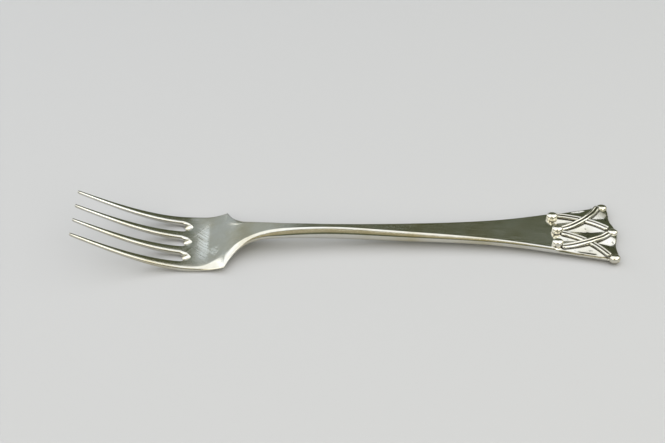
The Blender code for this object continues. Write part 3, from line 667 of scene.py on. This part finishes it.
class BodyNet:
    """Net of lines and stations over the fork in plan."""

    def __init__(self, shape):
        self.shape = shape
        plan = shape.plan
        edge = plan.root_width / 2 - EDGE_LINES * plan.tine_edge
        across = np.concatenate((-edge, edge[::-1]))
        slot_half = (plan.root_pitch - plan.root_width) / 2
        line_y, line_angle = [], []
        for tine in range(TINE_COUNT):
            middle = (tine - (TINE_COUNT - 1) / 2) * plan.root_pitch
            line_y.extend(middle + across)
            line_angle.extend([math.nan] * len(across))
            if tine < TINE_COUNT - 1:
                slot = middle + plan.root_pitch / 2
                line_y.extend(slot + slot_half * np.sin(SLOT_END_ANGLES))
                line_angle.extend(SLOT_END_ANGLES)
        self.line_y, self.line_angle = np.array(line_y), np.array(line_angle)
        self.lines = len(line_y)
        self.numbers = np.arange(self.lines)
        self.from_edge = np.minimum(self.numbers, self.lines - 1 - self.numbers)
        self.on_edge = self.from_edge < len(EDGE_LINES)
        self.tine_lines = 2 * len(EDGE_LINES)
        self.repeat = self.tine_lines + len(SLOT_END_ANGLES)
        self.stations = self.make_stations()
        self.root_station = sum(zone == "tine" for zone, _ in self.stations) - 1

    def make_stations(self):
        """Stations from the tips to the handle's end as (zone, part of the zone)."""
        plan = self.shape.plan
        straight = plan.tine_length - plan.slot_point
        steps = np.arange(TIP_STATIONS) / TIP_STATIONS
        tip = plan.tip_round * (1 - np.cos(math.pi / 2 * steps))
        tine = np.concatenate((tip, np.linspace(plan.tip_round, straight, TINE_STATIONS)))
        plain = 1 - plan.end_edge / self.shape.ornament.ornament_length

        def steps_to_one(count):
            return np.arange(1, count + 1) / count

        zones = {
            "tine": tine / straight,
            "root": ROOT_STATIONS,
            "bowl": np.sin(math.pi / 2 * steps_to_one(BOWL_STATIONS)),
            "neck": steps_to_one(NECK_STATIONS) ** NECK_CROWDING,
            "handle": steps_to_one(HANDLE_STATIONS),
            "end": [*(plain * steps_to_one(ORNAMENT_STATIONS)),
                    *along(1.0, plain, EDGE_LINES[-2::-1])],
        }
        return [(zone, part) for zone, parts in zones.items() for part in parts]

    def in_slot(self, station, line):
        """Whether the cell after this station and line is open, between two tines."""
        return (station < self.root_station) & (line % self.repeat >= self.tine_lines - 1)

    def tine_points(self, part, slot_point):
        """Plan points of all lines on the tines, those of a slot on its pointed end."""
        shape = self.shape
        x = along(TIP_X, shape.slot_start, part)
        place = self.numbers % self.repeat
        tine = self.numbers // self.repeat - (TINE_COUNT - 1) / 2
        near = place < len(EDGE_LINES)
        edge = EDGE_LINES[np.clip(np.where(near, place, self.tine_lines - 1 - place), 0, None)]
        reach = shape.tine_half_width(x) - edge * shape.tine_edge_round(x)
        y = tine * shape.tine_pitch(x) + np.where(near, -reach, reach)
        in_slot = ~np.isnan(self.line_angle)
        point = slot_point * np.cos(self.line_angle) ** SLOT_POINTING
        return np.where(in_slot, shape.slot_start + point, x), np.where(in_slot, self.line_y, y)

    def body_y(self, x):
        """Y of all lines on bowl, neck or handle: outer lines follow the rounded edge."""
        shape = self.shape
        last = len(EDGE_LINES) - 1
        outer, flat = shape.half_width(x), shape.flat_half_width(x)
        side = np.where(self.numbers < self.lines / 2, -1.0, 1.0)
        edge_y = side * along(outer, flat, EDGE_LINES[np.minimum(self.from_edge, last)])
        at_root = self.line_y / (shape.root_half - shape.plan.tine_edge)
        even = 2 * part_of(self.numbers, last, self.lines - 1 - last) - 1
        inside = flat * along(at_root, even, ease(part_of(x, shape.root, shape.crest)))
        return np.where(self.on_edge, edge_y, inside)

    def plan_points(self, station, slot_point):
        """Plan points of all lines at a station."""
        shape = self.shape
        zone, part = self.stations[station]
        if zone == "tine":
            return self.tine_points(part, slot_point)
        if zone == "root":
            xs, ys = self.tine_points(1.0, slot_point)
            x_bowl = along(shape.root, shape.shoulder, math.sin(math.pi / 2 / BOWL_STATIONS))
            x = along(xs, x_bowl, part)
            inside = along(ys, self.body_y(np.full(self.lines, x_bowl)), part)
            return x, np.where(self.on_edge, self.body_y(x), inside)
        first, last = {"bowl": (shape.root, shape.shoulder), "neck": (shape.shoulder, shape.crest),
                       "handle": (shape.crest, shape.start),
                       "end": (shape.start, shape.plate_end(0.0))}[zone]
        x = np.full(self.lines, along(first, last, part))
        y = self.body_y(x)
        if zone == "end":
            x = along(shape.start, shape.plate_end(y), part)
        return x, y


def start_piece(name):
    """Name the object that was just added."""
    piece = bpy.context.object
    piece.name = name
    piece.data.name = name
    return piece


def finish_piece(piece, node, material):
    """Smooth a finished piece and let it stand for its node, under the root body."""
    bpy.ops.object.select_all(action="DESELECT")
    piece.select_set(True)
    bpy.context.view_layer.objects.active = piece
    bpy.ops.object.mode_set(mode="EDIT")
    bpy.ops.mesh.select_all(action="SELECT")
    bpy.ops.mesh.normals_make_consistent(inside=False)
    bpy.ops.object.mode_set(mode="OBJECT")
    smooth = piece.modifiers.new("smooth", "SUBSURF")
    smooth.levels = 1
    smooth.render_levels = 1
    bpy.ops.object.modifier_apply(modifier=smooth.name)
    bpy.ops.object.shade_smooth()
    piece.data.materials.append(material)
    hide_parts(node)
    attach(piece, "root")


def get_points(mesh):
    """Vertex places of a mesh as an array."""
    points = np.empty(len(mesh.vertices) * 3)
    mesh.vertices.foreach_get("co", points)
    return points.reshape(-1, 3)


def set_points(mesh, points):
    """Move a mesh's vertices to the places of an array."""
    mesh.vertices.foreach_set("co", points.ravel())
    mesh.update()


def set_attribute(mesh, name, values, kind="FLOAT", domain="POINT"):
    """Give a mesh a value on each vertex, or on each edge."""
    mesh.attributes.new(name, kind, domain).data.foreach_set("value", values)


def set_copy(source, node, points, tarnish, material):
    """Copy a piece, with a mesh of its own, to the place of a node."""
    piece = source.copy()
    piece.data = source.data.copy()
    piece.name = "silver_" + node
    piece.data.name = piece.name
    bpy.context.collection.objects.link(piece)
    set_points(piece.data, points)
    set_attribute(piece.data, "tarnish", tarnish)
    finish_piece(piece, node, material)


def add_node(tree, kind, inputs=None, output=0, **settings):
    """Add a node and return an output of it; an input is a value or a socket to link from."""
    node = tree.nodes.new(kind)
    for name, value in settings.items():
        setattr(node, name, value)
    for name, value in (inputs or {}).items():
        if isinstance(value, bpy.types.NodeSocket):
            tree.links.new(value, node.inputs[name])
        else:
            node.inputs[name].default_value = value
    return node.outputs[output] if node.outputs else None


def new_material(name):
    """Empty node material and its tree."""
    old = bpy.data.materials.get(name)
    if old:
        bpy.data.materials.remove(old)
    material = bpy.data.materials.new(name)
    material.use_nodes = True
    material.node_tree.nodes.clear()
    return material, material.node_tree


def buffed_silver(name, finish):
    """Sterling silver, shaped by hand and buffed on a wheel.

    To the eye it is a soft mirror: cloudy with a thin yellowish bloom, crossed by hairlines
    from the wheel and from use, scuffed bright in the bowl with a painted cool sheen, dark with
    patina where no cloth reaches, and darkened by painted shade along the straps' feet, on the
    rim's wall, in the reeds' groove and at the knobs' feet.
    """
    clean, hairlines_per_mm, depth = SILVERS[name]
    material, tree = new_material(name)
    place = add_node(tree, "ShaderNodeTexCoord", output="Object")
    # Hairlines along the fork are drawn several times wider than real ones, so that they show
    across = hairlines_per_mm / MM
    wheel = add_node(tree, "ShaderNodeMapping",
                     {"Vector": place, "Scale": (1 / HAIRLINE_LENGTH, across, across)})
    hairlines = add_node(tree, "ShaderNodeTexNoise",
                         {"Vector": wheel, "Scale": 1.0, "Detail": HAIRLINE_DETAIL})
    # Scratches of use are sparse, scuffs lie close and aslant the other way, specks of tarnish
    # lie in the sunk ground, and bloom is in clouds
    shares = {}
    for pattern, (turn, size, detail, start, full, limit) in PATTERNS.items():
        turned = add_node(tree, "ShaderNodeMapping",
                          {"Vector": place, "Rotation": (0.0, 0.0, math.radians(turn)),
                           "Scale": [side * MM for side in size]}, vector_type="TEXTURE")
        noise = add_node(tree, "ShaderNodeTexNoise",
                         {"Vector": turned, "Scale": 1.0, "Detail": detail})
        rise = {"Value": noise, "From Min": start, "From Max": full}
        if limit:
            rise["To Max"] = add_node(tree, "ShaderNodeAttribute", output="Fac",
                                      attribute_name=limit)
        shares[pattern] = add_node(tree, "ShaderNodeMapRange", rise)
    # Patina in the ground, and painted shade along straps, on the rim and at knobs' feet
    tarnish = add_node(tree, "ShaderNodeAttribute", output="Fac", attribute_name="tarnish")
    dark = add_node(tree, "ShaderNodeMath", {0: tarnish, 1: shares["specks"]},
                    operation="MAXIMUM")
    tint = (*getattr(finish, clean), 1.0)
    # Mix in bloom, then patina and painted shade, then fresh metal with a painted cool sheen
    for part, over in ((shares["bloom"], finish.bloom), (dark, finish.tarnish),
                       (shares["scuffs"], finish.fresh_and_sheen)):
        tint = add_node(tree, "ShaderNodeMix", {0: part, 6: tint, 7: (*over, 1.0)}, output=2,
                        data_type="RGBA")
    rough = add_node(tree, "ShaderNodeMapRange",
                     {"Value": hairlines, "From Min": HAIRLINE_NOISE[0],
                      "From Max": HAIRLINE_NOISE[1], "To Min": finish.roughness,
                      "To Max": HAIRLINE_ROUGHNESS * finish.roughness})
    for part, rougher in ((shares["scratches"], finish.scratch_roughness),
                          (shares["scuffs"], finish.scuff_roughness)):
        rough = add_node(tree, "ShaderNodeMapRange",
                         {"Value": part, "To Min": rough, "To Max": rougher})
    height = add_node(tree, "ShaderNodeMath", {0: hairlines, 1: shares["scratches"]},
                      operation="SUBTRACT")
    bump = add_node(tree, "ShaderNodeBump",
                    {"Height": height, "Strength": BUMP_STRENGTH, "Distance": depth})
    shader = add_node(tree, "ShaderNodeBsdfPrincipled",
                      {"Base Color": tint, "Metallic": 1.0, "Roughness": rough, "Normal": bump})
    add_node(tree, "ShaderNodeOutputMaterial", {"Surface": shader})
    return material


class MakeForkBody(bpy.types.Operator):
    """Model the forged body: tines, bowl, neck, stem and handle in one piece"""

    bl_idname = "fork.make_body"
    bl_label = "Fork body"

    def execute(self, context):
        shape = ForkShape(context.scene)
        net = BodyNet(shape)
        rows, columns = len(net.stations) - 1, net.lines - 1
        bpy.ops.object.select_all(action="DESELECT")
        bpy.ops.mesh.primitive_grid_add(x_subdivisions=rows, y_subdivisions=columns, size=1.0)
        piece = start_piece("silver_fork_body")
        mesh = piece.data

        def places():
            """Points of the sheet, and the station and line of each."""
            points = get_points(mesh)
            steps = np.round((points[:, :2] + 0.5) * (rows, columns)).astype(int)
            return points, steps[:, 0], steps[:, 1]

        # Open the slots between the tines, then thicken the sheet
        _, station, line = places()
        bpy.ops.object.mode_set(mode="EDIT")
        bpy.ops.mesh.select_all(action="DESELECT")
        sheet = bmesh.from_edit_mesh(mesh)
        for face in sheet.faces:
            corners = [vert.index for vert in face.verts]
            face.select_set(bool(net.in_slot(station[corners].min(), line[corners].min())))
        bmesh.update_edit_mesh(mesh)
        bpy.ops.mesh.delete(type="FACE")
        bpy.ops.mesh.select_all(action="SELECT")
        bpy.ops.mesh.extrude_region_move(TRANSFORM_OT_translate={"value": (0.0, 0.0, 1.0)})
        bpy.ops.object.mode_set(mode="OBJECT")
        # Lay both skins on the fork's surfaces
        points, station, line = places()
        upper = points[:, 2] > 0.5
        back_point = shape.plan.slot_point - shape.plan.slot_slope
        for skin, slot_point, height in ((upper, shape.plan.slot_point, shape.top_height),
                                         (~upper, back_point, shape.back_height)):
            plan = np.array([net.plan_points(k, slot_point) for k in range(rows + 1)])
            x, y = plan[station[skin], :, line[skin]].T
            points[skin] = np.stack((x, y, height(x, y)), axis=1)
        set_points(mesh, points)
        x, y = points[:, 0], points[:, 1]
        set_attribute(mesh, "wear", shape.wear(x))
        for mark in ("tarnish", "scuffs", "recess"):
            set_attribute(mesh, mark, np.where(upper, getattr(shape, mark)(x, y), 0.0))
        # Keep the rims of the slots' sloped ends crisp
        slot_end = (station == net.root_station) & ~np.isnan(net.line_angle[line])
        ends = np.empty(2 * len(mesh.edges), dtype=int)
        mesh.edges.foreach_get("vertices", ends)
        ends = ends.reshape(-1, 2)
        crisp = slot_end[ends].all(axis=1) & (upper[ends[:, 0]] == upper[ends[:, 1]])
        set_attribute(mesh, "crease_edge", crisp * 1.0, domain="EDGE")
        set_attribute(mesh, "sharp_edge", crisp, "BOOLEAN", "EDGE")
        material = buffed_silver("forged_silver_buffed", context.scene.fork_finish)
        finish_piece(piece, "fork_body", material)
        return {"FINISHED"}


class MakeForkStraps(bpy.types.Operator):
    """Model one reeded strap and lay a copy along each of the four routes"""

    bl_idname = "fork.make_straps"
    bl_label = "Reeded straps"

    def section(self, sizes):
        """Points of a strap's section, from its near bottom corner over the two reeds."""
        reed = (sizes.strap_width - sizes.groove_width) / 4
        spread = reed + sizes.groove_width / 2
        points = [(-sizes.strap_width / 2, 0.0)]
        for middle in (-spread, spread):
            for turn in np.linspace(math.pi, 0.0, REED_POINTS):
                base = sizes.groove_floor if middle * math.cos(turn) < 0 else sizes.strap_side
                points.append((middle + reed * math.cos(turn),
                               base + (sizes.strap_height - base) * math.sin(turn)))
        points.append((sizes.strap_width / 2, 0.0))
        return np.array(points)

    def execute(self, context):
        shape = ForkShape(context.scene)
        sizes = shape.ornament
        section = self.section(sizes)
        bpy.ops.object.select_all(action="DESELECT")
        bpy.ops.mesh.primitive_circle_add(vertices=len(section), radius=1.0, fill_type="NGON")
        bar = start_piece("strap_bar")
        bpy.ops.object.mode_set(mode="EDIT")
        for _ in range(STRAP_STATIONS - 1):
            bpy.ops.mesh.extrude_region_move(TRANSFORM_OT_translate={"value": (0.0, 0.0, 1.0)})
        bpy.ops.object.mode_set(mode="OBJECT")
        raw = get_points(bar.data)
        station = np.round(raw[:, 2]).astype(int)
        turn = np.arctan2(raw[:, 0], raw[:, 1]) / (2 * math.pi / len(section))
        out, up = section[np.round(turn).astype(int) % len(section)].T
        # Painted shade: darker in the groove between the reeds and along the strap's foot
        dark = np.maximum(hump(np.abs(out), *REED_GROOVE), hump(up, *STRAP_EDGE))
        material = buffed_silver("reeded_silver_buffed", context.scene.fork_finish)
        for node, (route, crossed, over) in shape.routes.items():
            forward = np.gradient(route, axis=0)
            forward /= np.linalg.norm(forward, axis=1)[:, None]
            across = np.column_stack((forward[:, 1], -forward[:, 0]))
            laid = route.copy()
            laid[0] -= sizes.strap_tuck * forward[0]
            laid[-1] += sizes.strap_tuck * forward[-1]
            plan = laid[station] + out[:, None] * across[station]
            height = shape.strap_height(*plan.T, up, crossed, over)
            set_copy(bar, node, np.column_stack((plan, height)), dark, material)
        bpy.data.objects.remove(bar)
        return {"FINISHED"}


class MakeForkKnobs(bpy.types.Operator):
    """Model one egg-shaped knob and set a copy in each of the six places"""

    bl_idname = "fork.make_knobs"
    bl_label = "Knobs"

    def execute(self, context):
        bpy.ops.object.select_all(action="DESELECT")
        bpy.ops.mesh.primitive_uv_sphere_add(segments=KNOB_SEGMENTS, ring_count=KNOB_RINGS,
                                             radius=0.5)
        egg = start_piece("knob_egg")
        material = buffed_silver("knob_silver_bright", context.scene.fork_finish)
        # Flatten the egg's top, as on a cast bead that was filed and rubbed
        raw = get_points(egg.data)
        spread = np.column_stack((np.hypot(raw[:, 0], raw[:, 1]), np.abs(raw[:, 2])))
        raw /= 2 * (spread ** KNOB_FLATNESS).sum(axis=1, keepdims=True) ** (1 / KNOB_FLATNESS)
        # Painted shade: darker towards the knob's foot, where it sits on the body
        dark = KNOB_SHADE * hump(raw[:, 2] + 0.5, *KNOB_FOOT)
        for node in sorted(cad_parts):
            if node.startswith("knob"):
                low, high = (np.array(corner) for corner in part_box(node))
                set_copy(egg, node, (low + high) / 2 + raw * (high - low), dark, material)
        bpy.data.objects.remove(egg)
        return {"FINISHED"}


def direction(turn, height):
    """Direction at a turn from +Y towards -X and a height above the floor."""
    return Vector((-math.sin(turn) * math.cos(height), math.cos(turn) * math.cos(height),
                   math.sin(height)))


class MakeForkStage(bpy.types.Operator):
    """Lay the floor, hang the softboxes and set the camera"""

    bl_idname = "fork.make_stage"
    bl_label = "Studio"

    def execute(self, context):
        stage = context.scene.fork_stage
        bpy.ops.object.select_all(action="DESELECT")
        bpy.ops.mesh.primitive_plane_add(size=FLOOR_SIZE, location=(0.0, 0.0, -FLOOR_DROP))
        floor = start_piece("floor")
        material, tree = new_material("matt_paper")
        shader = add_node(tree, "ShaderNodeBsdfPrincipled",
                          {"Base Color": (*stage.floor_colour, 1.0),
                           "Roughness": FLOOR_ROUGHNESS})
        add_node(tree, "ShaderNodeOutputMaterial", {"Surface": shader})
        floor.data.materials.append(material)
        for name, (turn, height, distance, wide, tall, glow, tint) in SOFTBOXES.items():
            away = direction(math.radians(turn), math.radians(height))
            bpy.ops.object.light_add(type="AREA", location=away * distance,
                                     rotation=away.to_track_quat("Z", "Y").to_euler())
            lamp = start_piece(name)
            lamp.data.shape = "RECTANGLE"
            lamp.data.size = wide
            lamp.data.size_y = tall
            lamp.data.energy = glow * stage.brightness * math.pi * wide * tall
            lamp.data.color = linear(tint)
        world = bpy.data.worlds.new("dim_room")
        world.use_nodes = True
        context.scene.world = world
        room = world.node_tree.nodes["Background"]
        room.inputs["Color"].default_value = (*stage.room_colour, 1.0)
        back = direction(math.pi + stage.turn, stage.elevation)
        right = Vector((0.0, 0.0, 1.0)).cross(back).normalized()
        turned = Matrix((right, back.cross(right), back)).transposed()
        turned = turned @ Matrix.Rotation(stage.roll, 3, "Z")
        bpy.ops.object.camera_add()
        camera = start_piece("photo_camera")
        place = Matrix.Translation(Vector(stage.target) + back * stage.distance)
        camera.matrix_world = place @ turned.to_4x4()
        camera.data.sensor_fit = "HORIZONTAL"
        camera.data.lens = stage.lens
        camera.data.clip_start = CLIP_START
        context.scene.camera = camera
        context.scene.view_settings.view_transform = "Standard"
        return {"FINISHED"}


class ForkPanel(bpy.types.Panel):
    """Buttons that make the fork's pieces, with its sizes and finishes"""

    bl_idname = "VIEW3D_PT_fork"
    bl_label = "Child fork"
    bl_space_type = "VIEW_3D"
    bl_region_type = "UI"
    bl_category = "Fork"

    def draw(self, context):
        for operator in OPERATORS:
            self.layout.operator(operator.bl_idname)
        for name in GROUPS:
            group = getattr(context.scene, name)
            box = self.layout.box()
            for setting in group.bl_rna.properties:
                if setting.identifier not in ("rna_type", "name"):
                    box.prop(group, setting.identifier)


GROUPS = {
    "fork_profile": ForkProfile,
    "fork_plan": ForkPlan,
    "fork_ornament": ForkOrnament,
    "fork_finish": ForkFinish,
    "fork_stage": ForkStage,
}
OPERATORS = (MakeForkBody, MakeForkStraps, MakeForkKnobs, MakeForkStage)
CLASSES = (*GROUPS.values(), *OPERATORS, ForkPanel)


def register():
    """Register the classes and hang the property groups on the scene."""
    for cls in CLASSES:
        bpy.utils.register_class(cls)
    for name, group in GROUPS.items():
        setattr(bpy.types.Scene, name, PointerProperty(type=group))


def unregister():
    """Undo register."""
    for name in GROUPS:
        delattr(bpy.types.Scene, name)
    for cls in reversed(CLASSES):
        bpy.utils.unregister_class(cls)


def main():
    """Make every piece and the stage."""
    register()
    bpy.ops.fork.make_body()
    bpy.ops.fork.make_straps()
    bpy.ops.fork.make_knobs()
    bpy.ops.fork.make_stage()


if __name__ == "__main__":
    main()
